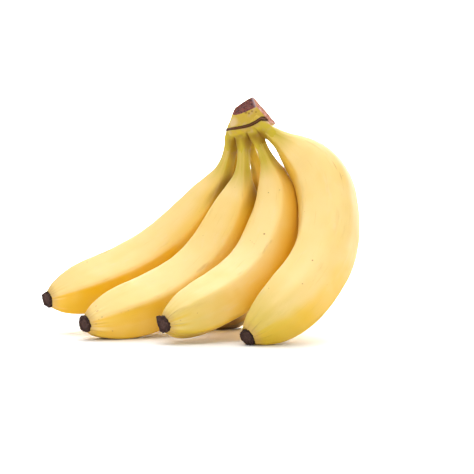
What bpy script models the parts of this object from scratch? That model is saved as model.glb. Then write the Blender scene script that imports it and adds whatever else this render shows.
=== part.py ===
"""A bunch of six bananas, standing crown up on three of its own fingers.

Metres, +Z up. The inner row of fingers faces -Y, and the fingers curve away towards -X.
The origin is on the surface that the bunch stands on, in the middle of the bunch's outline.
"""

import math
from collections import namedtuple

import bmesh
import bpy
import numpy as np
from mathutils import Vector

# Middle of the crown, at the height of its bract scar line.
CROWN_AT = np.array((0.0372, 0.0016, 0.1561))

# Clearance between neighbouring fingers, between a piece and the next one along the same stalk,
# and round a stalk where the crown's rim closes about it.
FINGER_GAP = 0.0011
JOINT_GAP = 0.0003
SOCKET_GAP = 0.00045

# One finger: where its stalk leaves the crown, the directions that it starts and finishes in,
# its length along the curve, the length of its narrow stalk, its thickness, the share of the
# length where it bends most, how far its neck stands out on the outside of the curve, the turn of
# its ridges in degrees, and the turn and share of a ridge that is worn smooth.
Finger = namedtuple("Finger", "root start finish length stalk girth knee shoulder roll worn wear")
FINGERS = [
    Finger((-0.0118, 0.008, -0.0085), (-0.209, 0.445, -0.870), (-0.851, -0.482, -0.212),
           0.2070, 0.020, 0.0466, 0.379, 0.0015, 12, 0, 0),
    Finger((-0.004, 0.000, -0.009), (-0.002, 0.160, -0.987), (-0.831, -0.533, -0.140),
           0.2093, 0.020, 0.0453, 0.435, 0.0015, 27, 0, 0),
    Finger((0.0058, -0.006, -0.0075), (0.406, -0.018, -0.913), (-0.817, -0.523, -0.242),
           0.1946, 0.0150, 0.0428, 0.405, 0.0042, 32, 0, 0),
    Finger((0.013, -0.010, -0.003), (0.800, -0.126, -0.575), (-0.777, -0.402, -0.508),
           0.2018, 0.005, 0.0477, 0.401, 0.0045, -7, -79, 0.85),
    Finger((-0.008, 0.0215, -0.008), (-0.12, 0.64, -0.79), (-0.84, -0.28, -0.43),
           0.2005, 0.020, 0.038, 0.54, 0.0015, 0, 0, 0),
    Finger((-0.0012, 0.0131, -0.009), (0.34, 0.36, -0.86), (-0.78, -0.44, -0.245),
           0.1710, 0.019, 0.039, 0.72, 0.0020, 0, 0, 0),
]

# Thickness along a finger: share of the fruit from the stalk's end (0) to the tip (1), share
# of the full girth.
PROFILE = [(-0.12, 0.27), (0.0, 0.25), (0.044, 0.34), (0.089, 0.53), (0.144, 0.74),
           (0.244, 0.92), (0.39, 0.99), (0.56, 1.00), (0.72, 0.985), (0.835, 0.925), (0.90, 0.81),
           (0.95, 0.635), (0.978, 0.49), (1.00, 0.31)]

# A banana's skin has five ridges. Share of the length, sharpness of the ridges there; then how
# round their crests are, and how far round the skin a worn ridge is smoothed.
RIDGES = 5
RIDGE_SHARPNESS = [(0.0, 0.80), (0.15, 0.60), (0.35, 0.52), (0.60, 0.72), (0.85, 0.90), (1.0, 0.90)]
RIDGE_ROUNDING = math.radians(3)
WORN_WIDTH = math.radians(36)

# Shares of the length: how far the bend spreads, where the neck stands out furthest and how far
# that spreads, and how far the stalk runs straight before it.
BEND_WIDTH = 0.20
SHOULDER_PLACE = 0.24
SHOULDER_WIDTH = 0.13
STALK_STRAIGHT = 0.05

# Faces round a finger, rings along it, how much closer the rings are at its ends, and the steps
# that its centre line is measured in.
SIDES = 20
STATIONS = 30
END_CROWDING = 0.55
FINE = 241

# Rounded oval sections of the crown from bottom to top:
# height, half width, half depth, shift along X, shift along Y.
CROWN_SECTIONS = [
    (-0.0055, 0.0110, 0.0095, 0.0005, 0.0045),
    (-0.0035, 0.0162, 0.0135, 0.0018, 0.0045),
    (-0.0013, 0.0186, 0.0152, 0.0027, 0.0045),
    (-0.0006, 0.0196, 0.0162, 0.0031, 0.0045),
    (0.0006, 0.0196, 0.0162, 0.0032, 0.0045),
    (0.0013, 0.0186, 0.0150, 0.0034, 0.0047),
    (0.0060, 0.0184, 0.0146, 0.0036, 0.0050),
    (0.0120, 0.0170, 0.0136, 0.0040, 0.0050),
    (0.0190, 0.0152, 0.0112, 0.0052, 0.0050),
    (0.0260, 0.0130, 0.0095, 0.0058, 0.0050),
]
CROWN_SIDES = 28
# Power of the rounded oval (2 is an ellipse), and the rise of its sections towards +X.
CROWN_SQUARENESS = 2.5
CROWN_RISE = 0.20

# How deep each stalk starts inside the crown, how far it ends short of the fruit's own part, and
# how far along the stalk the crown is kept clear of that part.
STUB_REACH = 0.012
STUB_STEPS = 12
STUB_END = 0.00036
SOCKET_DEPTH = 0.022

# The knife cuts that trimmed the crown: a point on each cut, from the crown's middle, and the
# direction that the cut face looks in.
KNIFE_CUTS = [
    ((0.0028, -0.0110, 0.0117), (-0.38, -0.38, 0.80)),
    ((0.0045, 0.0140, 0.0227), (0.74, -0.20, 0.645)),
]

# A dried blossom end: distance past the finger's tip, radius.
BLOSSOM_SECTIONS = [(0.0, 0.0051), (0.0010, 0.0057), (0.0020, 0.0055), (0.0029, 0.0045)]
BLOSSOM_SIDES = 12

# Points closer than this to a cutting plane count as on it.
ON_PLANE = 1e-7

# Edges sharper than this stay crisp. Then colour and roughness of each material.
SHARP_EDGE = math.radians(40)
PEEL = ((0.86, 0.60, 0.10), 0.5)
CROWN_SKIN = ((0.52, 0.38, 0.12), 0.65)
DRIED = ((0.09, 0.055, 0.035), 0.85)


def unit(vector):
    """The vector, or each vector of a row, at length 1."""
    return vector / np.linalg.norm(vector, axis=-1, keepdims=True)


def smooth_curve(pairs, at):
    """Height at the places `at` of a smooth curve through the pairs (place, height)."""
    place, height = np.array(pairs).T
    slope = np.gradient(height, place)
    left = np.clip(np.searchsorted(place, at, side="right") - 1, 0, len(place) - 2)
    step = place[left + 1] - place[left]
    share = (at - place[left]) / step
    rise = height[left + 1] - height[left]
    ease = share * share * (3 - 2 * share)
    swing = share * (1 - share) * (step * slope[left] * (1 - share) - step * slope[left + 1] * share)
    return height[left] + rise * ease + swing


def centre_line(finger, at):
    """Points, directions and inward directions on a finger's centre line at the shares `at`.

    The direction turns from start to finish in one plane, fastest at the knee.
    """
    start, finish = unit(np.array(finger.start)), unit(np.array(finger.finish))
    bend = math.acos(start @ finish)
    aside = unit(finish - (finish @ start) * start)
    fine = np.linspace(0, 1, FINE)

    def turned(share):
        curve = np.tanh((share - finger.knee) / (2 * BEND_WIDTH))
        first, last = (math.tanh((end - finger.knee) / (2 * BEND_WIDTH)) for end in (0, 1))
        return bend * (curve - first) / (last - first)

    def direction(share):
        angle = turned(share)[:, None]
        return np.cos(angle) * start + np.sin(angle) * aside

    heading = direction(fine)
    steps = (heading[1:] + heading[:-1]) / 2 * finger.length / (FINE - 1)
    line = np.vstack([np.zeros(3), np.cumsum(steps, axis=0)])
    points = np.stack([np.interp(at, fine, line[:, axis]) for axis in range(3)], axis=1)
    angle = turned(at)[:, None]
    inward = np.cos(angle) * aside - np.sin(angle) * start
    lift = np.exp(-((at - SHOULDER_PLACE) / SHOULDER_WIDTH) ** 2)
    lift *= finger.shoulder * (1 - np.exp(-(at / STALK_STRAIGHT) ** 2))
    points += CROWN_AT + np.array(finger.root) - lift[:, None] * inward
    return points, direction(at), inward


def skin_distance(finger, at, angle):
    """Distance from the centre line to the skin. Angle 0 is the outside of the curve."""
    pitch = 2 * math.pi / RIDGES
    from_ridge = (angle - math.radians(finger.roll) + pitch / 2) % pitch - pitch / 2
    rounded = np.sqrt(from_ridge ** 2 + RIDGE_ROUNDING ** 2) - RIDGE_ROUNDING
    ridge = math.cos(pitch / 2) / np.cos(pitch / 2 - rounded)
    along_fruit = (at * finger.length - finger.stalk) / (finger.length - finger.stalk)
    plain = finger.girth / 2 * smooth_curve(PROFILE, along_fruit)
    from_worn = (angle - math.radians(finger.worn) + math.pi) % (2 * math.pi) - math.pi
    kept = 1 - finger.wear * np.exp(-(from_worn / WORN_WIDTH) ** 2)
    return plain * ridge ** (kept * smooth_curve(RIDGE_SHARPNESS, at))


def skin_rings(finger, at, sides):
    """Rings of points on a finger's skin, one ring for each share in `at`."""
    points, heading, inward = centre_line(finger, at)
    across = np.cross(heading, inward)
    angle = np.arange(sides) * 2 * math.pi / sides + math.radians(finger.roll)
    reach = skin_distance(finger, at[:, None], angle[None, :])[..., None]
    outward = -np.cos(angle)[None, :, None] * inward[:, None, :]
    sideways = np.sin(angle)[None, :, None] * across[:, None, :]
    return points[:, None, :] + reach * (outward + sideways)


def press_apart(finger, rings):
    """The rings, pressed in where a neighbouring finger takes up the room."""
    skin = rings.reshape(-1, 3)
    moved = np.zeros_like(skin)
    fine = np.append(np.zeros(STUB_STEPS), np.linspace(0, 1, FINE))
    for other in FINGERS:
        if other is finger:
            continue
        points, heading, inward = centre_line(other, fine)
        into_crown = np.linspace(STUB_REACH, 0, STUB_STEPS, endpoint=False)
        points[:STUB_STEPS] -= into_crown[:, None] * heading[0]
        across = np.cross(heading, inward)
        nearest = np.linalg.norm(skin[:, None] - points[None], axis=2).argmin(axis=1)
        aside = skin - points[nearest]
        aside -= (aside * heading[nearest]).sum(axis=1, keepdims=True) * heading[nearest]
        distance = np.linalg.norm(aside, axis=1)
        angle = np.arctan2((aside * across[nearest]).sum(axis=1),
                           -(aside * inward[nearest]).sum(axis=1))
        overlap = skin_distance(other, fine[nearest], angle) + FINGER_GAP - distance
        between = (nearest > 0) & (nearest < len(fine) - 1)
        retreat = np.where(between, np.maximum(overlap, 0) / 2, 0)
        moved += retreat[:, None] * aside / distance[:, None]
    return (skin + moved).reshape(rings.shape)


def skin_of(finger):
    """All rings of a finger's skin, closer together at its ends."""
    even = np.linspace(0, 1, STATIONS)
    at = even - END_CROWDING * np.sin(2 * math.pi * even) / (2 * math.pi)
    return press_apart(finger, skin_rings(finger, at, SIDES))


def sweep(rings):
    """A closed body through rings of points, grown ring by ring from its first face."""
    body = bmesh.new()
    first = body.faces.new([body.verts.new(point) for point in rings[0]])
    face = first
    for ring in rings[1:]:
        grown = bmesh.ops.extrude_face_region(body, geom=[face])
        if face is not first:
            body.faces.remove(face)
        face = next(item for item in grown["geom"] if isinstance(item, bmesh.types.BMFace))
        for vert, point in zip(face.verts, ring):
            vert.co = point
    bmesh.ops.recalc_face_normals(body, faces=body.faces)
    return body


def slice_off(body, point, direction):
    """Cut away what lies past a plane, and close the cut with one flat face."""
    everything = body.verts[:] + body.edges[:] + body.faces[:]
    cut = bmesh.ops.bisect_plane(body, geom=everything, dist=ON_PLANE, plane_co=point,
                                 plane_no=direction, clear_outer=True)
    rim = [item for item in cut["geom_cut"] if isinstance(item, bmesh.types.BMEdge)]
    if rim:
        bmesh.ops.contextual_create(body, geom=rim)
        bmesh.ops.recalc_face_normals(body, faces=body.faces)


def put(name, body, material, collection=None):
    """Make an object from a body, shaded smooth, and hand it back."""
    mesh = bpy.data.meshes.new(name)
    body.to_mesh(mesh)
    body.free()
    mesh.shade_smooth()
    mesh.set_sharp_from_angle(angle=SHARP_EDGE)
    mesh.materials.append(material)
    made = bpy.data.objects.new(name, mesh)
    (collection or bpy.context.scene.collection).objects.link(made)
    return made


def make_material(name, look):
    """A Principled material from a colour and a roughness."""
    colour, roughness = look
    material = bpy.data.materials.new(name)
    material.use_nodes = True
    shader = material.node_tree.nodes["Principled BSDF"]
    shader.inputs["Base Color"].default_value = (*colour, 1)
    shader.inputs["Roughness"].default_value = roughness
    shader.inputs["Metallic"].default_value = 0
    return material


def make_finger(number, rings, material):
    """One fruit, with a small flat where it rests on the surface below."""
    body = sweep(rings)
    slice_off(body, (0, 0, 0), (0, 0, -1))
    return put(f"finger_{number}", body, material)


def make_blossom_end(number, finger, material):
    """The dry cup that the flower left on the fruit's tip."""
    points, heading, inward = centre_line(finger, np.array([1.0]))
    tip, along = points[0] + JOINT_GAP * heading[0], heading[0]
    side, up = inward[0], np.cross(heading[0], inward[0])
    turns = np.arange(BLOSSOM_SIDES) * 2 * math.pi / BLOSSOM_SIDES
    circle = np.cos(turns)[:, None] * side + np.sin(turns)[:, None] * up
    rings = [tip + past * along + radius * circle for past, radius in BLOSSOM_SECTIONS]
    return put(f"blossom_end_{number}", sweep(rings), material)


def crown_block():
    """The cushion of the crown, with its raised scar line, trimmed by the knife."""
    turns = np.arange(CROWN_SIDES) * 2 * math.pi / CROWN_SIDES
    cosine, sine = np.cos(turns), np.sin(turns)
    swell = (abs(cosine) ** CROWN_SQUARENESS + abs(sine) ** CROWN_SQUARENESS) ** (-1 / CROWN_SQUARENESS)
    rings = []
    for height, half_width, half_depth, shift_x, shift_y in CROWN_SECTIONS:
        x = half_width * swell * cosine + shift_x
        y = half_depth * swell * sine + shift_y
        rings.append(CROWN_AT + np.stack([x, y, height + CROWN_RISE * x], axis=1))
    block = sweep(rings)
    for point, direction in KNIFE_CUTS:
        slice_off(block, Vector(CROWN_AT) + Vector(point), Vector(direction).normalized())
    return block


def stalk_start(finger, rings):
    """The first stretch of a stalk, inside the crown and just clear of the fruit's own part."""
    back = -unit(np.array(finger.start))
    return sweep([rings[0] + STUB_REACH * back, rings[0] + STUB_END * back])


def socket(finger, rings):
    """The room that the fruit's own part of the stalk takes up, with its clearance."""
    along = unit(np.array(finger.start))
    middle = rings[0].mean(axis=0)
    reach = np.linalg.norm(rings[0] - middle, axis=1, keepdims=True)
    ring = middle + (rings[0] - middle) * (reach + SOCKET_GAP) / reach
    return sweep([ring - JOINT_GAP * along, ring + SOCKET_DEPTH * along])


def combine(target, operation, operand):
    """Join or cut with an object or a collection, and keep the result as the mesh."""
    change = target.modifiers.new("Combine", "BOOLEAN")
    change.operation = operation
    change.solver = "EXACT"
    if isinstance(operand, bpy.types.Collection):
        change.operand_type = "COLLECTION"
        change.collection = operand
    else:
        change.object = operand
    evaluated = target.evaluated_get(bpy.context.evaluated_depsgraph_get())
    mesh = bpy.data.meshes.new_from_object(evaluated)
    target.modifiers.clear()
    target.data = mesh


def clear(collection):
    """Remove a collection and the objects in it."""
    for used in list(collection.objects):
        bpy.data.objects.remove(used, do_unlink=True)
    bpy.data.collections.remove(collection)


def make_crown(skins, material):
    """The crown: its block, joined with six stalk starts and clear of the fingers."""
    crown = put("crown", crown_block(), material)
    for operation, shape in (("UNION", stalk_start), ("DIFFERENCE", socket)):
        group = bpy.data.collections.new("crown_work")
        bpy.context.scene.collection.children.link(group)
        for finger, rings in zip(FINGERS, skins):
            put("crown_work", shape(finger, rings), material, group)
        combine(crown, operation, group)
        clear(group)
    crown.data.name = "crown"
    crown.data.shade_smooth()
    crown.data.set_sharp_from_angle(angle=SHARP_EDGE)
    return crown


def main():
    for old in list(bpy.data.objects):
        bpy.data.objects.remove(old, do_unlink=True)
    peel = make_material("peel", PEEL)
    crown_skin = make_material("crown_skin", CROWN_SKIN)
    dried = make_material("dried_blossom", DRIED)
    skins = [skin_of(finger) for finger in FINGERS]
    make_crown(skins, crown_skin)
    for number, (finger, rings) in enumerate(zip(FINGERS, skins), start=1):
        make_finger(number, rings, peel)
        make_blossom_end(number, finger, dried)


main()
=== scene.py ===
"""Looks for a bunch of six ripe bananas that stands on its own fingers, crown up.

Metres, +Z up. The inner row of fruits faces -Y and they curve away towards -X.
"""

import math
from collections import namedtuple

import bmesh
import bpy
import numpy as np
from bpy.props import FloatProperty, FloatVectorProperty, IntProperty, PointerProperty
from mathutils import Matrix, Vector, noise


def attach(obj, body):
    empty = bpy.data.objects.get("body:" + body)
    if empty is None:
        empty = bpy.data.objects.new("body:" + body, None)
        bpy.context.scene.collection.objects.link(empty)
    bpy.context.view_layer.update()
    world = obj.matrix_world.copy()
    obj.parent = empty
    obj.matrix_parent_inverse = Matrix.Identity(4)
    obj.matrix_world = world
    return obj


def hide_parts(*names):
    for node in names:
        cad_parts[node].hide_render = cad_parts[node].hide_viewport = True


bl_info = {
    "name": "Banana bunch",
    "version": (1, 0, 0),
    "blender": (4, 5, 0),
    "location": "View3D > Sidebar > Bananas",
    "description": "A bunch of ripe bananas with its crown and dried blossom ends, on a pale stage",
    "category": "Object",
}

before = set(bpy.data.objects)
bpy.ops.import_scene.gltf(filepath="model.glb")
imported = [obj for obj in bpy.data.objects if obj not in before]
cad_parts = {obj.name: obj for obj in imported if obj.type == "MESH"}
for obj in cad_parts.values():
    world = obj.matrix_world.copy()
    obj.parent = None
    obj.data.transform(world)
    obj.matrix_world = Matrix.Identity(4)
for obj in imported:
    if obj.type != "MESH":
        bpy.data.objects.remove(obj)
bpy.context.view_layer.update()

# The fruits' own shape, as the frame's solids have it: where the stalk leaves the crown, the
# directions that it starts and finishes in, length, stalk length, thickness, the share of the
# length where it bends most, how far the neck stands out, and the turn of the ridges in degrees.
# Then the looks: how green the stalk and the tip still are, the dry flap on the blossom end as its
# turn in degrees and its length, and how strongly painted shade darkens the skin between the stalks.
Fruit = namedtuple("Fruit", "root start finish length stalk girth knee shoulder roll "
                            "worn wear green_stalk green_tip flap_turn flap browned")
FRUITS = [
    Fruit((-0.0118, 0.008, -0.0085), (-0.209, 0.445, -0.870), (-0.851, -0.482, -0.212),
          0.2070, 0.020, 0.0466, 0.379, 0.0015, 12, 0, 0, 0.75, 0.05, 40, 0.0006, 0.80),
    Fruit((-0.004, 0.000, -0.009), (-0.002, 0.160, -0.987), (-0.831, -0.533, -0.140),
          0.2093, 0.020, 0.0453, 0.435, 0.0015, 27, 0, 0, 0.95, 0.12, 20, 0.0008, 0.80),
    Fruit((0.0058, -0.006, -0.0075), (0.406, -0.018, -0.913), (-0.817, -0.523, -0.242),
          0.1946, 0.0150, 0.0428, 0.405, 0.0042, 32, 0, 0, 1.00, 0.55, 10, 0.0032, 0.35),
    Fruit((0.013, -0.010, -0.003), (0.800, -0.126, -0.575), (-0.777, -0.402, -0.508),
          0.2018, 0.005, 0.0477, 0.401, 0.0045, -7, -79, 0.85, 1.00, 0.60, 200, 0.0008, 0.35),
    Fruit((-0.008, 0.0215, -0.008), (-0.12, 0.64, -0.79), (-0.84, -0.28, -0.43),
          0.2005, 0.020, 0.038, 0.54, 0.0015, 0, 0, 0, 0.85, 0.20, 120, 0.0010, 0.90),
    Fruit((-0.0012, 0.0131, -0.009), (0.34, 0.36, -0.86), (-0.78, -0.44, -0.245),
          0.1710, 0.019, 0.039, 0.72, 0.0020, 0, 0, 0, 0.90, 0.30, 300, 0.0008, 0.90),
]
CROWN_AT = np.array((0.0372, 0.0016, 0.1561))

# Thickness along a fruit: share of the way from the stalk's end to the tip, share of the girth.
PROFILE = [(-0.12, 0.27), (0.0, 0.25), (0.044, 0.34), (0.089, 0.53), (0.144, 0.74),
           (0.244, 0.92), (0.39, 0.99), (0.56, 1.00), (0.72, 0.985), (0.835, 0.925), (0.90, 0.81),
           (0.95, 0.635), (0.978, 0.49), (1.00, 0.31)]
RIDGES = 5
RIDGE_SHARPNESS = [(0.0, 0.80), (0.15, 0.60), (0.35, 0.52), (0.60, 0.72), (0.85, 0.90), (1.0, 0.90)]
RIDGE_ROUNDING = math.radians(3)
WORN_WIDTH = math.radians(36)
BEND_WIDTH = 0.20
SHOULDER_PLACE = 0.24
SHOULDER_WIDTH = 0.13
STALK_STRAIGHT = 0.05
FINE = 241
STUB_REACH = 0.012
STUB_STEPS = 12

# The crown's rounded oval sections: height, half width, half depth, shift along X and Y.
CROWN_SECTIONS = [
    (-0.0060, 0.0120, 0.0105, 0.0005, 0.0045),
    (-0.0035, 0.0165, 0.0138, 0.0018, 0.0045),
    (0.0000, 0.0188, 0.0154, 0.0030, 0.0045),
    (0.0060, 0.0184, 0.0146, 0.0036, 0.0050),
    (0.0120, 0.0170, 0.0136, 0.0040, 0.0050),
    (0.0190, 0.0152, 0.0112, 0.0052, 0.0050),
    (0.0260, 0.0130, 0.0095, 0.0058, 0.0050),
]
CROWN_SQUARENESS = 2.5
CROWN_RISE = 0.20
# A point on each knife cut, from the crown's middle, and the direction that the cut looks in.
KNIFE_CUTS = [
    ((0.0028, -0.0110, 0.0117), (-0.38, -0.38, 0.80)),
    ((0.0045, 0.0140, 0.0227), (0.74, -0.20, 0.645)),
]


class PeelSettings(bpy.types.PropertyGroup):
    """Sizes and colours of the fruits' skin."""

    gap: FloatProperty(name="Gap", description="Room between two fruits that press together",
                       default=0.0004, unit="LENGTH")
    dents: FloatProperty(name="Dents", description="Depth of the skin's soft unevenness",
                         default=0.00035, unit="LENGTH")
    sides: IntProperty(name="Sides", description="Faces round each fruit", default=100)
    rings: IntProperty(name="Rings", description="Rings of faces along each fruit", default=170)
    yellow: FloatVectorProperty(name="Ripe yellow", description="Colour of the ripe skin",
                                default=(0.95, 0.69, 0.265), subtype="COLOR")
    # The deep yellow serves both as the skin's warmer patches and as painted shade on undersides and
    # between fruits.
    deep_and_shade: FloatVectorProperty(name="Deep yellow", description="Colour of the skin's warmer patches",
                              default=(0.85, 0.495, 0.006), subtype="COLOR")
    green: FloatVectorProperty(name="Green yellow", description="Colour of stalks and unripe tips",
                               default=(0.60, 0.46, 0.04), subtype="COLOR")
    bruise: FloatVectorProperty(name="Bruise brown", description="Colour of specks and rub marks",
                                default=(0.16, 0.065, 0.018), subtype="COLOR")
    rim: FloatVectorProperty(name="Rim", description="Colour of the skin round the blossom end",
                             default=(0.60, 0.35, 0.11), subtype="COLOR")
    roughness: FloatProperty(name="Roughness", description="Roughness of the waxy skin",
                             default=0.37, subtype="FACTOR", min=0, max=1)


class CrownSettings(bpy.types.PropertyGroup):
    """Sizes and colours of the crown."""

    grain: FloatProperty(name="Grain", description="Size of the faces that the crown is made of",
                         default=0.00045, unit="LENGTH")
    web: IntProperty(name="Web", description="How far the corners between stalks fill up",
                     default=26)
    band: FloatVectorProperty(name="Band", description="Colour of the skin over the scar",
                              default=(0.60, 0.41, 0.06), subtype="COLOR")
    scar: FloatVectorProperty(name="Scar", description="Colour of the bract scar",
                              default=(0.042, 0.010, 0.006), subtype="COLOR")
    old_cut: FloatVectorProperty(name="Old cut", description="Colour of the dark cut face",
                                 default=(0.15, 0.034, 0.022), subtype="COLOR")
    new_cut: FloatVectorProperty(name="New cut", description="Colour of the paler cut face",
                                 default=(0.52, 0.22, 0.14), subtype="COLOR")


class BlossomSettings(bpy.types.PropertyGroup):
    """Sizes and colours of the dried blossom ends."""

    radius: FloatProperty(name="Radius", description="Radius of a blossom end",
                          default=0.0058, unit="LENGTH")
    length: FloatProperty(name="Length", description="How far it stands out of the fruit's tip",
                          default=0.0029, unit="LENGTH")
    nod: FloatProperty(name="Nod", description="How far each one leans towards the front",
                       default=0.35)
    dark: FloatVectorProperty(name="Dark", description="Colour of the dry skin",
                              default=(0.030, 0.012, 0.009), subtype="COLOR")
    ash: FloatVectorProperty(name="Ash", description="Colour of its worn edges",
                             default=(0.15, 0.080, 0.066), subtype="COLOR")


class StageSettings(bpy.types.PropertyGroup):
    """Camera, light and floor."""

    target: FloatVectorProperty(name="Target", description="Point that the camera looks at",
                                default=(0.0283, -0.0071, 0.0726), unit="LENGTH")
    distance: FloatProperty(name="Distance", description="Camera's distance from that point",
                            default=0.84, unit="LENGTH")
    elevation: FloatProperty(name="Elevation", description="Camera's angle over the horizon",
                             default=math.radians(1.0), unit="ROTATION")
    lens: FloatProperty(name="Lens", description="Focal length in millimetres", default=85)
    key: FloatProperty(name="Key light", description="Power of the large lamp overhead in watts",
                       default=14.6)
    fill: FloatProperty(name="Fill light", description="Power of the lamp beside the camera in watts",
                        default=4.3)
    air: FloatProperty(name="Air", description="Brightness of the white surroundings", default=0.42)
    wall: FloatProperty(name="Wall light", description="Power of the lamp on the wall in watts",
                        default=60.0)
    floor: FloatVectorProperty(name="Floor", description="Colour of the floor",
                               default=(0.97, 0.97, 0.97), subtype="COLOR")


class Signal:
    """One output of a shader node. Arithmetic with it adds Math nodes."""

    def __init__(self, graph, socket):
        self.graph = graph
        self.socket = socket

    def __add__(self, other):
        return self.graph.math("ADD", self, other)

    def __sub__(self, other):
        return self.graph.math("SUBTRACT", self, other)

    def __rsub__(self, other):
        return self.graph.math("SUBTRACT", other, self)

    def __mul__(self, other):
        return self.graph.math("MULTIPLY", self, other)

    def __pow__(self, other):
        return self.graph.math("POWER", self, other)

    __radd__ = __add__
    __rmul__ = __mul__


class Graph:
    """A material's shader, built from expressions."""

    def __init__(self, name):
        self.material = bpy.data.materials.new(name)
        self.material.use_nodes = True
        self.tree = self.material.node_tree
        self.shader = self.tree.nodes["Principled BSDF"]

    def plug(self, socket, value):
        if isinstance(value, Signal):
            self.tree.links.new(value.socket, socket)
        elif isinstance(value, tuple) and len(value) == 3 and socket.type == "RGBA":
            socket.default_value = (*value, 1)
        else:
            socket.default_value = value

    def node(self, kind, output=0, settings=(), **sockets):
        """A node with its settings, its sockets' values or links by name or number, and an output."""
        made = self.tree.nodes.new(kind)
        for name, value in dict(settings).items():
            setattr(made, name, value)
        for name, value in sockets.items():
            socket = made.inputs[int(name[1:])] if name[1:].isdigit() else made.inputs[name]
            self.plug(socket, value)
        return Signal(self, made.outputs[output])

    def math(self, operation, first, second):
        return self.node("ShaderNodeMath", settings={"operation": operation}, _0=first, _1=second)

    def step(self, value, low, high):
        """0 below low, 1 above high, and smooth between them. Low may be the larger."""
        return self.node("ShaderNodeMapRange", settings={"interpolation_type": "SMOOTHSTEP"},
                         _0=value, _1=low, _2=high)

    def mix(self, first, second, share, blend="MIX"):
        return self.node("ShaderNodeMix", output=2,
                         settings={"data_type": "RGBA", "blend_type": blend, "clamp_factor": True},
                         _0=share, _6=first, _7=second)

    def attribute(self, name, output="Fac"):
        return self.node("ShaderNodeAttribute", output=output, settings={"attribute_name": name})

    def place(self):
        return self.node("ShaderNodeTexCoord", output="Object")

    def stretch(self, vector, scale):
        return self.node("ShaderNodeVectorMath", settings={"operation": "MULTIPLY"},
                         _0=vector, _1=scale)

    def noise(self, vector, scale, detail=3.0, roughness=0.5):
        return self.node("ShaderNodeTexNoise", Vector=vector, Scale=scale, Detail=detail,
                         Roughness=roughness)

    def dots(self, vector, scale, size, share):
        """Soft round dots in a share of the cells of a random pattern."""
        cells = {"feature": "F1"}
        distance = self.node("ShaderNodeTexVoronoi", settings=cells, Vector=vector, Scale=scale)
        colour = self.node("ShaderNodeTexVoronoi", output="Color", settings=cells,
                           Vector=vector, Scale=scale)
        luck = self.node("ShaderNodeSeparateColor", output=0, _0=colour)
        chance = self.node("ShaderNodeSeparateColor", output=1, _0=colour)
        chosen = self.math("GREATER_THAN", luck, 1 - share)
        return self.step(distance, size, size * 0.35) * chosen * (0.4 + chance * 0.6)

    def mark(self, where, centre, size, long):
        """A soft spot round one point of the coordinates, so many times longer along Z than wide."""
        squeeze = (1.0, 1.0, 1.0 / long)
        apart = self.node("ShaderNodeVectorMath", output="Value", settings={"operation": "DISTANCE"},
                          _0=self.stretch(where, squeeze), _1=tuple(np.multiply(centre, squeeze)))
        return self.step(apart, size, size * 0.3)

    def bump(self, height, distance, strength=1.0):
        return self.node("ShaderNodeBump", Height=height, Distance=distance, Strength=strength)

    def finish(self, colour, roughness, normal, **constants):
        self.plug(self.shader.inputs["Base Color"], colour)
        self.plug(self.shader.inputs["Roughness"], roughness)
        self.plug(self.shader.inputs["Normal"], normal)
        for name, value in constants.items():
            self.plug(self.shader.inputs[name.replace("_", " ")], value)
        return self.material


def unit(vector):
    return vector / np.linalg.norm(vector, axis=-1, keepdims=True)


def ease(value, low, high):
    share = np.clip((value - low) / (high - low), 0, 1)
    return share * share * (3 - 2 * share)


def smooth_curve(pairs, at):
    """Height at the places `at` of a smooth curve through the pairs (place, height)."""
    place, height = np.array(pairs).T
    slope = np.gradient(height, place)
    left = np.clip(np.searchsorted(place, at, side="right") - 1, 0, len(place) - 2)
    step = place[left + 1] - place[left]
    share = (at - place[left]) / step
    rise = height[left + 1] - height[left]
    blend = share * share * (3 - 2 * share)
    swing = share * (1 - share) * (step * slope[left] * (1 - share) - step * slope[left + 1] * share)
    return height[left] + rise * blend + swing


def centre_line(fruit, at):
    """Points, directions and inward directions on a fruit's centre line at the shares `at`."""
    start, finish = unit(np.array(fruit.start)), unit(np.array(fruit.finish))
    bend = math.acos(start @ finish)
    aside = unit(finish - (finish @ start) * start)
    fine = np.linspace(0, 1, FINE)

    def turned(share):
        curve = np.tanh((share - fruit.knee) / (2 * BEND_WIDTH))
        first, last = (math.tanh((end - fruit.knee) / (2 * BEND_WIDTH)) for end in (0, 1))
        return bend * (curve - first) / (last - first)

    def direction(share):
        angle = turned(share)[:, None]
        return np.cos(angle) * start + np.sin(angle) * aside

    heading = direction(fine)
    steps = (heading[1:] + heading[:-1]) / 2 * fruit.length / (FINE - 1)
    line = np.vstack([np.zeros(3), np.cumsum(steps, axis=0)])
    inside = np.clip(at, 0, 1)
    points = np.stack([np.interp(inside, fine, line[:, axis]) for axis in range(3)], axis=1)
    points += np.minimum(at, 0)[:, None] * fruit.length * start
    angle = turned(inside)[:, None]
    inward = np.cos(angle) * aside - np.sin(angle) * start
    lift = np.exp(-((inside - SHOULDER_PLACE) / SHOULDER_WIDTH) ** 2)
    lift *= fruit.shoulder * (1 - np.exp(-(inside / STALK_STRAIGHT) ** 2))
    points += CROWN_AT + np.array(fruit.root) - lift[:, None] * inward
    return points, direction(inside), inward


def from_ridge(fruit, angle):
    """Angle between a place on the section and its nearest ridge."""
    pitch = 2 * math.pi / RIDGES
    return (angle - math.radians(fruit.roll) + pitch / 2) % pitch - pitch / 2


def along_fruit(fruit, at):
    return (at * fruit.length - fruit.stalk) / (fruit.length - fruit.stalk)


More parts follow.
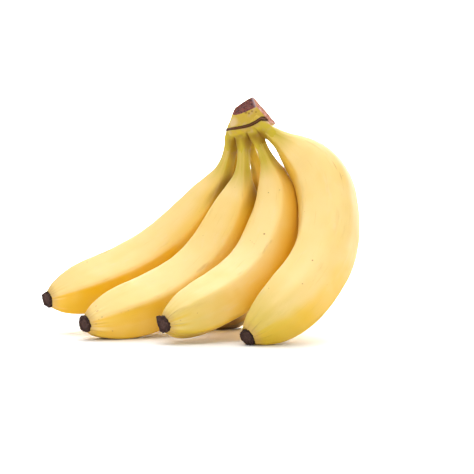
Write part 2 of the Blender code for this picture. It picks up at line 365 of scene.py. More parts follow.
def skin_distance(fruit, at, angle):
    """Distance from the centre line to the skin. Angle 0 is the outside of the curve."""
    pitch = 2 * math.pi / RIDGES
    rounded = np.sqrt(from_ridge(fruit, angle) ** 2 + RIDGE_ROUNDING ** 2) - RIDGE_ROUNDING
    ridge = math.cos(pitch / 2) / np.cos(pitch / 2 - rounded)
    plain = fruit.girth / 2 * smooth_curve(PROFILE, np.maximum(along_fruit(fruit, at), PROFILE[0][0]))
    from_worn = (angle - math.radians(fruit.worn) + math.pi) % (2 * math.pi) - math.pi
    kept = 1 - fruit.wear * np.exp(-(from_worn / WORN_WIDTH) ** 2)
    return plain * ridge ** (kept * smooth_curve(RIDGE_SHARPNESS, np.clip(at, 0, 1)))


def press_apart(fruit, skin, gap):
    """Points of the skin, pushed in where a neighbour takes up the room, and the room they have."""
    moved = np.zeros_like(skin)
    room = np.full(len(skin), 1.0)
    fine = np.append(np.linspace(-STUB_REACH, 0, STUB_STEPS, endpoint=False) / 0.2,
                     np.linspace(0, 1, FINE))
    for other in FRUITS:
        if other is fruit:
            continue
        points, heading, inward = centre_line(other, fine)
        across = np.cross(heading, inward)
        nearest = ((points ** 2).sum(axis=1) - 2 * skin @ points.T).argmin(axis=1)
        aside = skin - points[nearest]
        aside -= (aside * heading[nearest]).sum(axis=1, keepdims=True) * heading[nearest]
        distance = np.linalg.norm(aside, axis=1)
        angle = np.arctan2((aside * across[nearest]).sum(axis=1),
                           -(aside * inward[nearest]).sum(axis=1))
        overlap = skin_distance(other, np.maximum(fine[nearest], 0), angle) + gap - distance
        between = (nearest > 0) & (nearest < len(fine) - 1)
        retreat = np.where(between, np.maximum(overlap, 0) / 2, 0)
        moved += retreat[:, None] * aside / distance[:, None]
        room = np.minimum(room, np.maximum(-overlap, 0))
    return skin + moved, room


def rolled(sides, rings, place):
    """A closed mesh from a grid that place(turn, row) rolls into a tube with a pole at each end.

    place gets each vertex's turn from 0 to 1 and its row number from 0 to rings.
    """
    body = bmesh.new()
    bmesh.ops.create_grid(body, x_segments=sides, y_segments=rings, size=0.5)
    flat = np.array([vert.co for vert in body.verts])
    turn = np.round((flat[:, 0] + 0.5) * sides) / sides
    row = np.round((flat[:, 1] + 0.5) * rings)
    for vert, point in zip(body.verts, place(turn, row)):
        vert.co = point
    return body, turn, row


def to_mesh(name, body):
    mesh = bpy.data.meshes.new(name)
    body.to_mesh(mesh)
    body.free()
    return mesh


def close_up(mesh):
    """Merge the seam and the poles of a rolled mesh, and point its faces outwards."""
    body = bmesh.new()
    body.from_mesh(mesh)
    bmesh.ops.remove_doubles(body, verts=body.verts, dist=2e-6)
    bmesh.ops.dissolve_degenerate(body, edges=body.edges, dist=1e-7)
    bmesh.ops.recalc_face_normals(body, faces=body.faces)
    body.to_mesh(mesh)
    body.free()
    mesh.shade_smooth()


def store(mesh, name, values):
    """Keep one number or vector for each vertex, for the material."""
    vector = values.ndim == 2
    kept = mesh.attributes.new(name, "FLOAT_VECTOR" if vector else "FLOAT", "POINT")
    kept.data.foreach_set("vector" if vector else "value", values.astype(np.float32).ravel())


def uneven(points, size, seed):
    """Soft random heights from about -1 to 1 at the points."""
    offset = Vector((seed * 7.3, seed * 3.1, seed * 5.7))
    return np.array([noise.noise(Vector(point) / size + offset) for point in points]) * 2


def show(name, mesh, material, body="root"):
    """Put a finished mesh in the scene as a piece of the bunch."""
    mesh.materials.append(material)
    piece = bpy.data.objects.new(name, mesh)
    bpy.context.scene.collection.objects.link(piece)
    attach(piece, body)
    return piece


# Shares of a fruit's length: how its rows of vertices spread, and how its tip folds in under the
# blossom end.
END_CROWDING = 0.50
TIP_FOLDS = (0.86, 0.55, 0.0)
TIP_SINK = (0.0006, 0.0012, 0.0014)
# Skin with less room than this is tucked away, and skin is on the underside from the first share of
# its normal that points down to the second; both get painted shade, a deeper yellow.
TUCKED_REACH = 0.020
UNDERSIDE = (-0.12, 0.40)
# How tucked the skin must be for the painted shade between the stalks to start and to be full.
STALK_SHADE_SPAN = (0.50, 0.90)
FLOW_RADIUS = 0.020
FLOW_SPACING = 0.45
# Marks that stand out on the skin: fruit, share of its length, turn in degrees, radius in metres, how
# many times longer than wide, and strength.
MARKS = [
    (1, 0.830, 165, 0.0006, 1.0, 0.5),
    (2, 0.962, -172, 0.0007, 1.0, 0.7),
    (2, 0.968, -148, 0.0014, 1.0, 0.6),
    (2, 0.984, -96, 0.0009, 1.0, 0.8),
    (2, 0.976, -112, 0.0006, 1.0, 0.7),
    (2, 0.935, -66, 0.0007, 1.0, 0.7),
    (3, 0.452, -129, 0.0012, 0.8, 0.9),
    (3, 0.496, -155, 0.0006, 0.7, 0.6),
    (3, 0.503, -148, 0.0006, 0.7, 0.7),
    (3, 0.510, -141, 0.0006, 0.7, 0.6),
    (3, 0.905, -88, 0.0005, 1.0, 0.6),
    (3, 0.965, -84, 0.0007, 1.0, 0.6),
    (4, 0.281, -77, 0.0006, 9.0, 0.3),
    (4, 0.323, -73, 0.0006, 7.0, 0.3),
    (4, 0.671, -103, 0.0008, 1.0, 0.8),
    (4, 0.771, -91, 0.0006, 1.0, 0.7),
]


def flow_at(number, fruit, at, angle):
    """Coordinates on the skin that run with the fruit, for its fibres and marks."""
    return np.stack([FLOW_RADIUS * np.cos(angle), FLOW_RADIUS * np.sin(angle),
                     at * fruit.length + number * FLOW_SPACING], axis=-1)


def fruit_mesh(number, fruit, look):
    """One fruit's skin, pushed in by its neighbours and the floor, with its pattern's coordinates and the
    masks for its painted shade.
    """
    rows = look.rings
    folds = len(TIP_FOLDS)
    rooms = []

    def stations(row):
        even = np.clip((row - 1) / (rows - 1 - folds), 0, 1)
        at = even - END_CROWDING * np.sin(2 * math.pi * even) / (2 * math.pi)
        return np.where(row < 1, 0.0, at)

    def place(turn, row):
        at = stations(row)
        angle = turn * 2 * math.pi + math.radians(fruit.roll)
        points, heading, inward = centre_line(fruit, at)
        across = np.cross(heading, inward)
        reach = skin_distance(fruit, at, angle)
        reach = np.where(row < 1, 0.0, reach)
        sink = np.zeros_like(reach)
        for fold, (share, depth) in enumerate(zip(TIP_FOLDS, TIP_SINK), start=1):
            here = row == rows - folds + fold
            reach = np.where(here, reach * share, reach)
            sink = np.where(here, depth, sink)
        outward = -np.cos(angle)[:, None] * inward + np.sin(angle)[:, None] * across
        skin = points + reach[:, None] * outward - sink[:, None] * heading
        skin, room = press_apart(fruit, skin, look.gap)
        rooms.append(room)
        skin = relief(number, fruit, look, at, angle, skin, outward, row < 1)
        floor = 0.0006
        skin[:, 2] = (skin[:, 2] + np.sqrt(skin[:, 2] ** 2 + floor ** 2)) / 2
        return skin

    body, turn, row = rolled(look.sides, rows, place)
    mesh = to_mesh(f"fruit_{number}", body)
    at = stations(row)
    angle = turn * 2 * math.pi + math.radians(fruit.roll)
    share = along_fruit(fruit, at)
    stalk_green = fruit.green_stalk * (1 - ease(share, 0.00, 0.13))
    tip_green = fruit.green_tip * ease(share, 0.70, 0.98)
    store(mesh, "flow", flow_at(number, fruit, at, angle))
    store(mesh, "along", share)
    store(mesh, "ridge", np.exp(-(from_ridge(fruit, angle) / 0.13) ** 2))
    store(mesh, "green", np.maximum(stalk_green, tip_green))
    tucked = 1 - ease(rooms[0], 0.0, TUCKED_REACH)
    store(mesh, "tucked", tucked)
    store(mesh, "browned", fruit.browned * ease(tucked, *STALK_SHADE_SPAN) * (1 - ease(share, 0.07, 0.24)))
    close_up(mesh)
    store(mesh, "under", ease(-positions(mesh, "normal")[:, 2], *UNDERSIDE))
    return mesh


def relief(number, fruit, look, at, angle, skin, outward, pole):
    """The skin with soft dents along it and creases that gather at its tip and on its stalk."""
    share = along_fruit(fruit, at)
    height = look.dents * uneven(skin, 0.030, number)
    height += look.dents * 0.25 * uneven(skin, 0.008, number + 20)
    circle = np.stack([np.cos(angle), np.sin(angle), at * 0.4], axis=1)
    height += 0.00045 * uneven(circle, 0.16, number + 40) * ease(share, 0.90, 1.0)
    height += 0.00016 * uneven(circle, 0.22, number + 60) * (1 - ease(share, 0.0, 0.2))
    height = np.where(pole, 0, height)
    return skin + height[:, None] * outward


def peel_material(look):
    """Waxy ripe skin: warm and pale patches, painted shade on undersides, between fruits and between
    stalks, a painted shadow near the floor, long fibres, green stalk, specks, a brown rim.
    """
    graph = Graph("peel")
    flow = graph.attribute("flow", "Vector")
    along = graph.attribute("along")
    ridge = graph.attribute("ridge")
    green = graph.attribute("green")
    place = graph.place()
    patches = graph.noise(place, 28.0, 2.0)
    fibre = graph.noise(graph.stretch(flow, (1.0, 1.0, 0.05)), 900.0, 3.0, 0.6)
    cloud = graph.noise(graph.stretch(flow, (1.0, 1.0, 0.30)), 130.0, 4.0, 0.6)

    # Painted shade: the skin turns deep yellow on its undersides and where a neighbour fruit is close, plus
    # some random warmer patches.
    painted_shade_and_patches = graph.math("MAXIMUM", graph.attribute("under"), graph.attribute("tucked"))
    painted_shade_and_patches = painted_shade_and_patches * 0.80 + graph.step(patches, 0.40, 0.68) * 0.20
    colour = graph.mix(tuple(look.yellow), tuple(look.deep_and_shade), painted_shade_and_patches)
    colour = graph.mix(colour, (0.92, 0.70, 0.38), graph.step(cloud, 0.56, 0.78) * (1 - painted_shade_and_patches) * 0.40)
    leaf = green * graph.step(cloud + patches, 0.55, 1.25) * 0.55 + green * 0.55
    colour = graph.mix(colour, tuple(look.green), leaf)
    # Painted shade: dark brown on the stalks' sides where they crowd together.
    colour = graph.mix(colour, (0.27, 0.130, 0.010), graph.attribute("browned"))
    # Painted shadow: a dark brown patch round a point near the floor, on the back fruit's belly between the
    # front fruits.
    shadow_patch = graph.mark(place, (0.018, 0.020, 0.004), 0.027, 1.0)
    colour = graph.mix(colour, (0.14, 0.060, 0.015), shadow_patch * 0.9)
    colour = graph.mix(colour, (0.62, 0.36, 0.03), graph.step(fibre, 0.58, 0.80) * 0.22)
    rubbed = ridge * graph.step(graph.noise(graph.stretch(flow, (1.0, 1.0, 0.22)), 210.0, 4.0),
                                0.56, 0.72)
    colour = graph.mix(colour, (0.46, 0.24, 0.04), rubbed * 0.35)

    specks = graph.dots(flow, 120.0, 0.085, 0.09) + graph.dots(flow, 260.0, 0.11, 0.05)
    specks = specks * graph.step(along, 0.02, 0.15)
    colour = graph.mix(colour, tuple(look.bruise), specks * 0.75)
    for number, at, turn, size, long, strength in MARKS:
        centre = flow_at(number, FRUITS[number - 1], at, math.radians(turn))
        colour = graph.mix(colour, (0.40, 0.12, 0.035), graph.mark(flow, centre, size, long) * strength)

    tip = graph.step(along, 0.972, 0.999)
    cracks = graph.noise(graph.stretch(flow, (1.0, 1.0, 0.10)), 420.0, 3.0)
    streaks = graph.step(along, 0.93, 1.0) * graph.step(cracks, 0.60, 0.72)
    colour = graph.mix(colour, tuple(look.rim), tip * 0.60)
    colour = graph.mix(colour, tuple(look.bruise), streaks * 0.55)

    roughness = look.roughness + fibre * 0.10 + specks * 0.2
    height = fibre * 0.5 + cloud * 0.6 - specks * 0.8
    return graph.finish(colour, roughness, graph.bump(height, 0.00012, 0.7),
                        Subsurface_Weight=0.18, Subsurface_Scale=0.004,
                        Subsurface_Radius=(1.0, 0.55, 0.12), IOR=1.50)


class BUNCH_OT_fruits(bpy.types.Operator):
    """Make the six fruits and dress their skin."""

    bl_idname = "bunch.fruits"
    bl_label = "Fruits"

    def execute(self, context):
        look = context.scene.bunch_peel
        material = peel_material(look)
        for number, fruit in enumerate(FRUITS, start=1):
            piece = show(f"fruit_{number}", fruit_mesh(number, fruit, look), material)
            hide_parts(f"finger_{number}")
        return {"FINISHED"}


# A blossom end's outline from its root inside the fruit, over its rim and into its cup: share of
# the length past the tip, share of the radius, and how ragged it is there.
BLOSSOM_OUTLINE = [(-0.50, 0.00, 0.0), (-0.50, 0.80, 0.0), (-0.10, 0.90, 0.1), (0.20, 1.02, 0.3),
                   (0.55, 1.00, 0.6), (0.82, 0.95, 0.9), (0.98, 0.86, 1.0), (1.00, 0.76, 1.0),
                   (0.90, 0.66, 0.8), (0.72, 0.54, 0.5), (0.62, 0.40, 0.4), (0.60, 0.28, 0.3),
                   (0.74, 0.20, 0.3), (0.82, 0.10, 0.2), (0.84, 0.00, 0.0)]
BLOSSOM_SIDES = 60
BLOSSOM_ROWS = 44


def blossom_mesh(number, fruit, look):
    """The dry cup that the flower left on one fruit's tip, with its ragged rim and its flap."""
    tip, heading, inward = (item[0] for item in centre_line(fruit, np.array([1.0])))
    heading = unit(heading + look.nod * np.array((0, -1.0, 0)))
    inward = unit(inward - (inward @ heading) * heading)
    across = np.cross(heading, inward)
    outline = np.array(BLOSSOM_OUTLINE)
    knots = np.linspace(0, BLOSSOM_ROWS, len(outline))
    tables = [list(zip(knots, outline[:, column])) for column in range(3)]

    def place(turn, row):
        past, reach, ragged = (smooth_curve(table, row) for table in tables)
        ends = (row < 0.5) | (row > BLOSSOM_ROWS - 0.5)
        reach = np.where(ends, 0, np.maximum(reach, 0))
        angle = turn * 2 * math.pi
        circle = np.stack([np.cos(angle), np.sin(angle), row * 0.04], axis=1)
        wave = uneven(circle, 0.45, number)
        frayed = uneven(circle, 0.13, number + 9)
        turned = (angle - math.radians(fruit.flap_turn) + math.pi) % (2 * math.pi) - math.pi
        flap = np.exp(-(turned / 0.42) ** 2) * ease(past, 0.3, 1.0) * ease(reach, 0.6, 0.8)
        radius = look.radius * reach * (1 + 0.07 * wave + 0.05 * frayed) + 0.75 * flap * fruit.flap
        height = look.length * (past + ragged * (0.10 * wave + 0.07 * frayed)) + 0.35 * flap * fruit.flap
        outward = np.cos(angle)[:, None] * inward + np.sin(angle)[:, None] * across
        points = tip + np.where(ends, 0, radius)[:, None] * outward
        height = np.where(ends, look.length * past, height)
        points += height[:, None] * heading
        points[:, 2] = np.maximum(points[:, 2], 0)
        return points

    body, turn, row = rolled(BLOSSOM_SIDES, BLOSSOM_ROWS, place)
    mesh = to_mesh(f"dried_end_{number}", body)
    past = smooth_curve(tables[0], row)
    store(mesh, "rim", ease(past, 0.72, 1.0))
    store(mesh, "cup", ease(row, BLOSSOM_ROWS * 0.55, BLOSSOM_ROWS * 0.72))
    close_up(mesh)
    return mesh


def blossom_material(look):
    """Dry, purple-black plant skin with ashy worn edges and fine wrinkles."""
    graph = Graph("dried_blossom")
    place = graph.place()
    coarse = graph.noise(place, 420.0, 4.0, 0.65)
    fine = graph.noise(place, 1500.0, 3.0, 0.6)
    worn = graph.step(coarse, 0.48, 0.70) * 0.45 + graph.attribute("rim") * graph.step(fine, 0.4, 0.7) * 0.4
    colour = graph.mix(tuple(look.dark), tuple(look.ash), worn)
    colour = graph.mix(colour, (0.13, 0.070, 0.058), graph.attribute("cup") * 0.6)
    roughness = 0.66 + fine * 0.2
    return graph.finish(colour, roughness, graph.bump(coarse + fine * 0.5, 0.0004, 0.9),
                        Specular_IOR_Level=0.25)


class BUNCH_OT_blossom_ends(bpy.types.Operator):
    """Make the dried blossom ends on the fruits' tips."""

    bl_idname = "bunch.blossom_ends"
    bl_label = "Blossom ends"

    def execute(self, context):
        look = context.scene.bunch_blossom
        material = blossom_material(look)
        for number, fruit in enumerate(FRUITS, start=1):
            piece = show(f"dried_end_{number}", blossom_mesh(number, fruit, look), material)
            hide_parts(f"blossom_end_{number}")
        return {"FINISHED"}


CROWN_SIDES = 72
CROWN_ROWS = 48
# A stalk's sleeve: distance along the stalk from where it leaves the crown, and how much thicker
# than the fruit's own stalk it is there. It thins out and slips under the fruit's skin.
SLEEVE = [(-0.012, 1.00), (-0.004, 1.10), (0.000, 1.12), (0.003, 1.08), (0.007, 1.02), (0.012, 0.90)]
SLEEVE_SIDES = 60
SLEEVE_ROWS = 30
# Rise of the scar line over the crown's middle, in metres: along X, its curve on either side,
# and the x past which it runs level.
SCAR_SLOPE = 0.28
SCAR_CURVE_LEFT = 9.0
SCAR_CURVE_RIGHT = 30.0
SCAR_TURN = 0.009
STALK_SEEN = 0.050
STALK_STEPS = 40


# Brown spots on the band over the scar: place and radius.
CROWN_SPOTS = [
    ((0.0350, -0.0071, 0.1660), 0.0016),
    ((0.0372, -0.0074, 0.1652), 0.0012),
    ((0.0395, -0.0074, 0.1668), 0.0012),
    ((0.0425, -0.0077, 0.1662), 0.0009),
]


def crown_block():
    """The crown's cushion before it is cut, rolled from its rounded oval sections."""
    sections = np.array(CROWN_SECTIONS)
    knots = np.linspace(1, CROWN_ROWS - 1, len(sections))
    tables = [list(zip(knots, sections[:, column])) for column in range(5)]

    def place(turn, row):
        inner = np.clip(row, 1, CROWN_ROWS - 1)
        height, half_width, half_depth, shift_x, shift_y = (smooth_curve(table, inner) for table in tables)
        ends = (row < 1) | (row > CROWN_ROWS - 1)
        angle = turn * 2 * math.pi
        cosine, sine = np.cos(angle), np.sin(angle)
        corner = abs(cosine) ** CROWN_SQUARENESS + abs(sine) ** CROWN_SQUARENESS
        swell = np.where(ends, 0, corner ** (-1 / CROWN_SQUARENESS))
        x = half_width * swell * cosine + shift_x
        y = half_depth * swell * sine + shift_y
        return CROWN_AT + np.stack([x, y, height + CROWN_RISE * x], axis=1)

    mesh = to_mesh("block", rolled(CROWN_SIDES, CROWN_ROWS, place)[0])
    close_up(mesh)
    return mesh


def stalk_sleeve(fruit):
    """The stretch of stalk that grows out of the crown."""
    def place(turn, row):
        share = (np.clip(row, 1, SLEEVE_ROWS - 1) - 1) / (SLEEVE_ROWS - 2)
        distance = SLEEVE[0][0] + share * (SLEEVE[-1][0] - SLEEVE[0][0])
        at = distance / fruit.length
        angle = turn * 2 * math.pi + math.radians(fruit.roll)
        points, heading, inward = centre_line(fruit, at)
        reach = skin_distance(fruit, np.maximum(at, 0), angle) * smooth_curve(SLEEVE, distance)
        reach = np.where((row < 1) | (row > SLEEVE_ROWS - 1), 0, reach)
        across = np.cross(heading, inward)
        outward = -np.cos(angle)[:, None] * inward + np.sin(angle)[:, None] * across
        return points + reach[:, None] * outward

    mesh = to_mesh("sleeve", rolled(SLEEVE_SIDES, SLEEVE_ROWS, place)[0])
    close_up(mesh)
    return mesh


def remeshed(mesh, grain):
    """One closed skin round everything in a mesh, made of faces of one size."""
    holder = bpy.data.objects.new("holder", mesh)
    bpy.context.scene.collection.objects.link(holder)
    change = holder.modifiers.new("Remesh", "REMESH")
    change.mode = "VOXEL"
    change.voxel_size = grain
    graph = bpy.context.evaluated_depsgraph_get()
    made = bpy.data.meshes.new_from_object(holder.evaluated_get(graph))
    bpy.data.objects.remove(holder)
    return made


def positions(mesh, kind="co"):
    values = np.zeros(len(mesh.vertices) * 3, np.float32)
    mesh.vertices.foreach_get(kind, values)
    return values.reshape(-1, 3).astype(float)


def smoothed(mesh, times):
    """The mesh's vertices after they have been evened out some times."""
    body = bmesh.new()
    body.from_mesh(mesh)
    for _ in range(times):
        bmesh.ops.smooth_vert(body, verts=body.verts, factor=0.5,
                              use_axis_x=True, use_axis_y=True, use_axis_z=True)
    points = np.array([vert.co for vert in body.verts])
    body.free()
    return points


def knife(body, point, direction):
    """Cut away what lies past a plane, and close the cut."""
    everything = body.verts[:] + body.edges[:] + body.faces[:]
    cut = bmesh.ops.bisect_plane(body, geom=everything, dist=1e-7, plane_co=point,
                                 plane_no=direction, clear_outer=True)
    rim = [item for item in cut["geom_cut"] if isinstance(item, bmesh.types.BMEdge)]
    bmesh.ops.contextual_create(body, geom=rim)


def between_stalks(points):
    """How far points are tucked away between two stalks, from 0 to 1."""
    gaps = []
    for fruit in FRUITS:
        at = np.linspace(-STUB_REACH, STALK_SEEN, STALK_STEPS) / fruit.length
        line = centre_line(fruit, at)[0]
        thick = skin_distance(fruit, np.maximum(at, 0), np.zeros_like(at))
        apart = np.linalg.norm(points[:, None] - line[None], axis=2) - thick
        gaps.append(apart.min(axis=1))
    return 1 - ease(np.sort(gaps, axis=0)[1], 0.0, TUCKED_REACH)


def scar_rise(x):
    """Height of the scar line over the crown's middle at x."""
    held = np.minimum(x, SCAR_TURN)
    return SCAR_SLOPE * held + np.where(held < 0, SCAR_CURVE_LEFT, SCAR_CURVE_RIGHT) * held * held


def crown_mesh(look):
    """The crown with its webbed stalk starts, raised scar and two knife cuts."""
    body = bmesh.new()
    body.from_mesh(crown_block())
    for fruit in FRUITS:
        body.from_mesh(stalk_sleeve(fruit))
    raw = remeshed(to_mesh("raw", body), look.grain)
    points, normals = positions(raw), positions(raw, "normal")
    filled = ((smoothed(raw, look.web) - points) * normals).sum(axis=1)
    points += np.maximum(filled, 0)[:, None] * normals
    raw.vertices.foreach_set("co", points.astype(np.float32).ravel())
    raw.vertices.foreach_set("co", smoothed(raw, 3).astype(np.float32).ravel())

    body = bmesh.new()
    body.from_mesh(raw)
    for point, direction in KNIFE_CUTS:
        knife(body, Vector(CROWN_AT) + Vector(point), Vector(direction).normalized())
    mesh = remeshed(to_mesh("cut", body), look.grain)
    mesh.name = "crown_and_stalks"
    points = positions(mesh)
    normals = positions(mesh, "normal")
    from_crown = points - CROWN_AT

    cuts = []
    for point, direction in KNIFE_CUTS:
        facing = unit(np.array(direction))
        depth = (np.array(point) - from_crown) @ facing
        cuts.append((1 - ease(depth, 0.0002, 0.0010)) * ease(normals @ facing, 0.80, 0.95))
    cut = np.maximum(cuts[0], cuts[1])
    x = from_crown[:, 0]
    slope = SCAR_SLOPE + 2 * np.where(x < 0, SCAR_CURVE_LEFT, SCAR_CURVE_RIGHT) * np.minimum(x, SCAR_TURN)
    over_scar = (from_crown[:, 2] - scar_rise(x)) / np.sqrt(1 + slope * slope)
    width = 0.0009 + 0.016 * np.clip(x + 0.016, 0, 0.026)
    scar = over_scar / width
    swollen = np.exp(-scar ** 4) * (1 - cut)
    filled = ((smoothed(mesh, 10) - points) * normals).sum(axis=1)

    lift = 0.00055 * swollen * (1 + 0.3 * uneven(points, 0.0025, 3))
    lift += 0.00022 * uneven(points, 0.006, 5) * (1 - cut)
    fibres = uneven(points * (1.0, 1.0, 0.5), 0.0012, 7) + 0.7 * uneven(points, 0.0035, 8)
    lift -= cut * (0.00035 + 0.00022 * fibres)
    points += lift[:, None] * normals
    mesh.vertices.foreach_set("co", points.astype(np.float32).ravel())
    store(mesh, "old_cut", cuts[0])
    store(mesh, "new_cut", cuts[1] * (1 - cuts[0]))
    store(mesh, "scar", np.clip(scar, -9, 9))
    store(mesh, "over", over_scar)
    store(mesh, "hollow", np.clip(filled / 0.00012, 0, 1))
    # Painted shade: the crown's skin goes dark brown where two stalks crowd together, below the scar.
    browned = ease(between_stalks(points), *STALK_SHADE_SPAN) * (1 - ease(over_scar, -0.009, -0.004))
    store(mesh, "browned", 0.75 * browned)
    store(mesh, "arris", cuts[0] * np.exp(-(depth / 0.0012) ** 2))
    mesh.shade_smooth()
    return mesh


def crown_material(look, peel):
    """Stem tissue: green-yellow stalks, a tan band, a dark double scar and dry cut faces, with painted
    shade between the stalks and in their hollows.
    """
    graph = Graph("crown_skin")
    place = graph.place()
    old_cut, new_cut = graph.attribute("old_cut"), graph.attribute("new_cut")
    scar, over = graph.attribute("scar"), graph.attribute("over")
    hollow = graph.attribute("hollow")
    patches = graph.noise(place, 160.0, 3.0, 0.55)
    grain = graph.noise(graph.stretch(place, (1.0, 1.0, 0.25)), 1400.0, 3.0, 0.6)
    fibre = graph.noise(graph.stretch(place, (1.0, 0.25, 0.6)), 900.0, 4.0, 0.65)

    colour = graph.mix(tuple(peel.green), tuple(look.band), graph.step(over, -0.004, 0.001))
    colour = graph.mix(colour, (0.60, 0.40, 0.20), graph.step(patches, 0.52, 0.72) * 0.5)
    spots = graph.dots(place, 330.0, 0.22, 0.10) * graph.step(over, -0.001, 0.002)
    colour = graph.mix(colour, (0.30, 0.14, 0.03), spots * 0.8)
    pale = graph.mark(place, (0.0255, -0.0035, 0.1585), 0.0060, 1.0)
    colour = graph.mix(colour, (0.80, 0.60, 0.36), pale * graph.step(over, 0.001, 0.002) * 0.6)
    for centre, size in CROWN_SPOTS:
        colour = graph.mix(colour, (0.22, 0.095, 0.02), graph.mark(place, centre, size, 1.0) * 0.7)
    blush = graph.step(over, -0.0052, -0.0014) * graph.step(over, 0.001, -0.001)
    colour = graph.mix(colour, (0.46, 0.26, 0.14), blush * graph.step(patches, 0.38, 0.60) * 0.55)
    # Painted shade: dark brown in the hollows between the stalks below the scar.
    colour = graph.mix(colour, (0.17, 0.085, 0.02), hollow * graph.step(over, -0.0015, -0.0040) * 0.75)

    # Painted shade between the stalks.
    colour = graph.mix(colour, (0.27, 0.130, 0.010), graph.attribute("browned"))

    distance = graph.node("ShaderNodeMath", settings={"operation": "ABSOLUTE"}, _0=scar)
    band = graph.step(distance + (grain - 0.5) * 0.5, 1.30, 0.90)
    middle = graph.step(distance, 0.42, 0.12) * 0.40
    colour = graph.mix(colour, tuple(look.scar), band * 0.95)
    colour = graph.mix(colour, (0.26, 0.10, 0.045), band * middle)

    dry = graph.mix(tuple(look.old_cut), (0.030, 0.008, 0.016), graph.step(fibre, 0.46, 0.60) * 0.85)
    dry = graph.mix(dry, (0.34, 0.060, 0.040), graph.step(patches, 0.50, 0.66) * 0.6)
    fresh = graph.mix(tuple(look.new_cut), (0.24, 0.055, 0.060), graph.step(fibre, 0.50, 0.62) * 0.75)
    fresh = graph.mix(fresh, (0.74, 0.50, 0.40), graph.step(patches, 0.52, 0.66) * 0.7)
    colour = graph.mix(colour, dry, old_cut)
    colour = graph.mix(colour, fresh, new_cut)
    colour = graph.mix(colour, (0.52, 0.40, 0.44), graph.attribute("arris") * 0.7)

    roughness = 0.50 + grain * 0.12 + (old_cut + new_cut) * 0.2 + band * 0.12
    height = grain * 0.35 + patches * 0.4 + (old_cut + new_cut) * fibre * 1.2
    return graph.finish(colour, roughness, graph.bump(height, 0.00025, 0.8),
                        Subsurface_Weight=0.10, Subsurface_Scale=0.003,
                        Subsurface_Radius=(1.0, 0.55, 0.15), Specular_IOR_Level=0.12)


class BUNCH_OT_crown(bpy.types.Operator):
    """Make the crown that the fruits grow from."""

    bl_idname = "bunch.crown"
    bl_label = "Crown"

    def execute(self, context):
        look = context.scene.bunch_crown
        material = crown_material(look, context.scene.bunch_peel)
        piece = show("crown_and_stalks", crown_mesh(look), material)
        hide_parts("crown")
        return {"FINISHED"}


FLOOR_FRONT = -2.5
FLOOR_BACK = 1.6
FLOOR_HALF_WIDTH = 3.0
BACKDROP_HEIGHT = 2.6
BACKDROP_ROUNDING = 0.8


def backdrop_mesh():
    """A floor that turns up into a wall behind the bunch."""
    body = bmesh.new()
    bmesh.ops.create_grid(body, x_segments=1, y_segments=1, size=1.0)
    for vert in body.verts:
        vert.co.x *= FLOOR_HALF_WIDTH
        vert.co.y = FLOOR_BACK if vert.co.y > 0 else FLOOR_FRONT
    back = [edge for edge in body.edges if all(vert.co.y == max(v.co.y for v in body.verts)
                                              for vert in edge.verts)]
    grown = bmesh.ops.extrude_edge_only(body, edges=back)
    raised = [item for item in grown["geom"] if isinstance(item, bmesh.types.BMVert)]
    bmesh.ops.translate(body, verts=raised, vec=(0, 0, BACKDROP_HEIGHT))
    bmesh.ops.bevel(body, geom=back, offset=BACKDROP_ROUNDING, offset_type="OFFSET", affect="EDGES",
                    segments=24, profile=0.5, material=-1)
    return to_mesh("floor", body)


def lamp(name, place, aim, size, power, colour=(1, 1, 1)):
    """A square soft lamp that shines at a point."""
    light = bpy.data.lights.new(name, "AREA")
    light.shape = "SQUARE"
    light.size = size
    light.energy = power
    light.color = colour
    holder = bpy.data.objects.new(name, light)
    holder.location = place
    holder.rotation_euler = (Vector(aim) - Vector(place)).to_track_quat("-Z", "Y").to_euler()
    bpy.context.scene.collection.objects.link(holder)


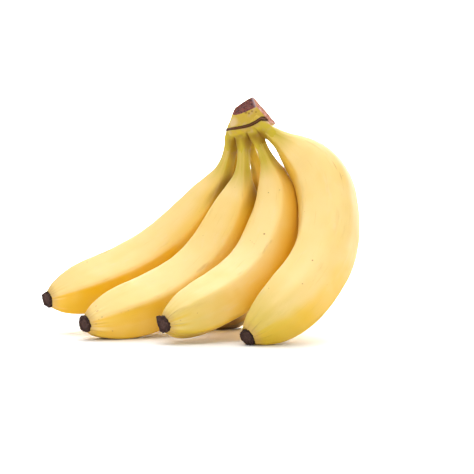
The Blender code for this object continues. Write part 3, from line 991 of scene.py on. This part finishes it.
class BUNCH_OT_stage(bpy.types.Operator):
    """Set up the pale floor, the soft light and the camera."""

    bl_idname = "bunch.stage"
    bl_label = "Stage"

    def execute(self, context):
        look = context.scene.bunch_stage
        graph = Graph("pale_floor")
        graph.plug(graph.shader.inputs["Base Color"], tuple(look.floor))
        graph.plug(graph.shader.inputs["Roughness"], 0.7)
        mesh = backdrop_mesh()
        mesh.materials.append(graph.material)
        mesh.shade_smooth()
        floor = bpy.data.objects.new("floor", mesh)
        context.scene.collection.objects.link(floor)

        lamp("key_light", (-0.02, 0.22, 1.05), (0.02, 0, 0.06), 1.4, look.key)
        lamp("fill_light", (0.25, -1.25, 0.50), (0.02, 0, 0.08), 0.8, look.fill)
        lamp("wall_light", (0.0, 0.55, 1.00), (0.0, FLOOR_BACK, 0.45), 1.2, look.wall)

        world = bpy.data.worlds.new("white_air")
        world.use_nodes = True
        background = world.node_tree.nodes["Background"]
        background.inputs["Color"].default_value = (1, 1, 1, 1)
        background.inputs["Strength"].default_value = look.air
        context.scene.world = world
        context.scene.view_settings.view_transform = "Standard"

        target = Vector(look.target)
        back = Vector((0, -math.cos(look.elevation), math.sin(look.elevation)))
        lens = bpy.data.cameras.new("camera")
        lens.lens = look.lens
        lens.clip_start = 0.01
        camera = bpy.data.objects.new("camera", lens)
        camera.location = target + back * look.distance
        camera.rotation_euler = (-back).to_track_quat("-Z", "Y").to_euler()
        context.scene.collection.objects.link(camera)
        context.scene.camera = camera
        return {"FINISHED"}


class BUNCH_PT_panel(bpy.types.Panel):
    """The bunch's pieces and their settings."""

    bl_label = "Banana bunch"
    bl_space_type = "VIEW_3D"
    bl_region_type = "UI"
    bl_category = "Bananas"

    def draw(self, context):
        for title, operator, settings in PARTS:
            box = self.layout.box()
            box.operator(operator, text=title)
            group = getattr(context.scene, settings)
            for name in group.__annotations__:
                box.prop(group, name)


PARTS = [
    ("Crown", "bunch.crown", "bunch_crown"),
    ("Fruits", "bunch.fruits", "bunch_peel"),
    ("Blossom ends", "bunch.blossom_ends", "bunch_blossom"),
    ("Stage", "bunch.stage", "bunch_stage"),
]
SETTINGS = {"bunch_peel": PeelSettings, "bunch_crown": CrownSettings,
            "bunch_blossom": BlossomSettings, "bunch_stage": StageSettings}
OPERATORS = [BUNCH_OT_fruits, BUNCH_OT_blossom_ends, BUNCH_OT_crown, BUNCH_OT_stage]


def register():
    for kind in [*SETTINGS.values(), *OPERATORS, BUNCH_PT_panel]:
        bpy.utils.register_class(kind)
    for name, kind in SETTINGS.items():
        setattr(bpy.types.Scene, name, PointerProperty(type=kind))


def unregister():
    for name in SETTINGS:
        delattr(bpy.types.Scene, name)
    for kind in [BUNCH_PT_panel, *OPERATORS, *SETTINGS.values()]:
        bpy.utils.unregister_class(kind)


def main():
    register()
    bpy.ops.bunch.crown()
    bpy.ops.bunch.fruits()
    bpy.ops.bunch.blossom_ends()
    bpy.ops.bunch.stage()


if __name__ == "__main__":
    main()
